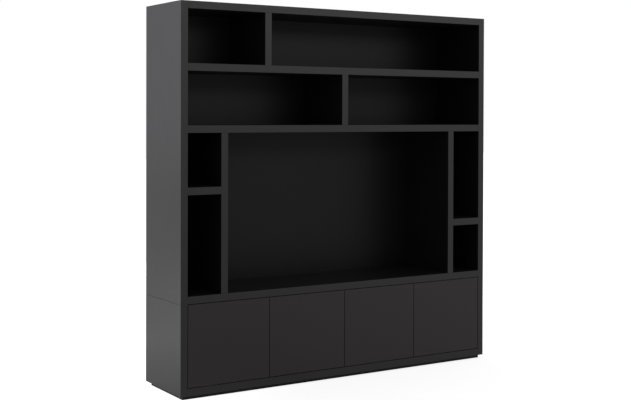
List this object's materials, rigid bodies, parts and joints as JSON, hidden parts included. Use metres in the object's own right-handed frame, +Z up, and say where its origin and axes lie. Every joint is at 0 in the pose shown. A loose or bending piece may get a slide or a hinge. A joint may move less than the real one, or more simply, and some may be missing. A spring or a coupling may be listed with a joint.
{
  "type": "tv stand",
  "caption": "Tall black wood media wall cabinet: open niches round a wide screen recess, on a base unit with flush push-to-open doors and a set-back plinth.",
  "frame": {"origin": "on the floor, under the middle of the cabinet", "axes": "+X to the right seen from the front, the front faces -Y, +Z up"},
  "size_m": [2.044, 0.44, 2.11],
  "materials": {
    "black_wood": "black stained veneer with a fine horizontal grain, satin",
    "black_panel": "black melamine faced board, matt",
    "door_lacquer": "smooth matt black lacquer, slightly warm",
    "nickel": "nickel plated steel",
    "grey_plastic": "moulded grey plastic",
    "black_plastic": "moulded black plastic",
    "bracket_steel": "zinc plated steel sheet"
  },
  "bodies": {
    "cabinet": {"base_side_left": "black_wood", "base_side_right": "black_wood", "base_bottom": "black_wood", "upper_side_left": "black_wood", "upper_side_right": "black_wood", "upper_top": "black_wood", "upper_deck": "black_wood", "upper_shelf_low": "black_wood", "upper_shelf_high": "black_wood", "divider_middle": "black_wood", "divider_high": "black_wood", "upright_left": "black_wood", "upright_right": "black_wood", "column_shelf_left": "black_wood", "column_shelf_right": "black_wood", "upper_back_high": "black_wood", "upper_back_low": "black_wood", "base_top_panel": "black_panel", "base_back": "black_panel", "base_partition_left": "black_panel", "base_partition_right": "black_panel", "base_shelf_left": "black_panel", "base_shelf_middle": "black_panel", "base_shelf_right": "black_panel", "plinth_front": "black_panel", "plinth_back": "black_panel", "plinth_left": "black_panel", "plinth_right": "black_panel", "door_1_hinge_arm_lower": "nickel", "door_1_hinge_arm_upper": "nickel", "door_2_hinge_arm_lower": "nickel", "door_2_hinge_arm_upper": "nickel", "door_3_hinge_arm_lower": "nickel", "door_3_hinge_arm_upper": "nickel", "door_4_hinge_arm_lower": "nickel", "door_4_hinge_arm_upper": "nickel", "door_1_latch_housing": "grey_plastic", "door_2_latch_housing": "grey_plastic", "door_3_latch_housing": "grey_plastic", "door_4_latch_housing": "grey_plastic", "deck_cable_sleeve": "black_plastic", "back_cable_sleeve": "black_plastic", "wall_bracket_left": "bracket_steel", "wall_bracket_right": "bracket_steel"},
    "door_1": {"door_1": "door_lacquer", "door_1_hinge_cup_lower": "nickel", "door_1_hinge_cup_upper": "nickel"},
    "door_2": {"door_2": "door_lacquer", "door_2_hinge_cup_lower": "nickel", "door_2_hinge_cup_upper": "nickel"},
    "door_3": {"door_3": "door_lacquer", "door_3_hinge_cup_lower": "nickel", "door_3_hinge_cup_upper": "nickel"},
    "door_4": {"door_4": "door_lacquer", "door_4_hinge_cup_lower": "nickel", "door_4_hinge_cup_upper": "nickel"},
    "plunger_1": {"door_1_latch_plunger": "black_plastic"},
    "plunger_2": {"door_2_latch_plunger": "black_plastic"},
    "plunger_3": {"door_3_latch_plunger": "black_plastic"},
    "plunger_4": {"door_4_latch_plunger": "black_plastic"}
  },
  "joints": [
    {"name": "door_1_hinge", "type": "hinge", "parent": "cabinet", "child": "door_1", "pos_m": [-0.963, -0.21, 0.28], "axis": [0, 0, -1], "range_deg": [0, 95]},
    {"name": "door_2_hinge", "type": "hinge", "parent": "cabinet", "child": "door_2", "pos_m": [-0.47275, -0.21, 0.28], "axis": [0, 0, -1], "range_deg": [0, 95]},
    {"name": "door_3_hinge", "type": "hinge", "parent": "cabinet", "child": "door_3", "pos_m": [0.47275, -0.21, 0.28], "axis": [0, 0, 1], "range_deg": [0, 95]},
    {"name": "door_4_hinge", "type": "hinge", "parent": "cabinet", "child": "door_4", "pos_m": [0.963, -0.21, 0.28], "axis": [0, 0, 1], "range_deg": [0, 95]},
    {"name": "door_1_latch_push", "type": "slide", "parent": "cabinet", "child": "plunger_1", "axis": [0, 1, 0], "range_m": [0, 0.003], "stiffness_N_per_m": 150},
    {"name": "door_2_latch_push", "type": "slide", "parent": "cabinet", "child": "plunger_2", "axis": [0, 1, 0], "range_m": [0, 0.003], "stiffness_N_per_m": 150},
    {"name": "door_3_latch_push", "type": "slide", "parent": "cabinet", "child": "plunger_3", "axis": [0, 1, 0], "range_m": [0, 0.003], "stiffness_N_per_m": 150},
    {"name": "door_4_latch_push", "type": "slide", "parent": "cabinet", "child": "plunger_4", "axis": [0, 1, 0], "range_m": [0, 0.003], "stiffness_N_per_m": 150}
  ]
}
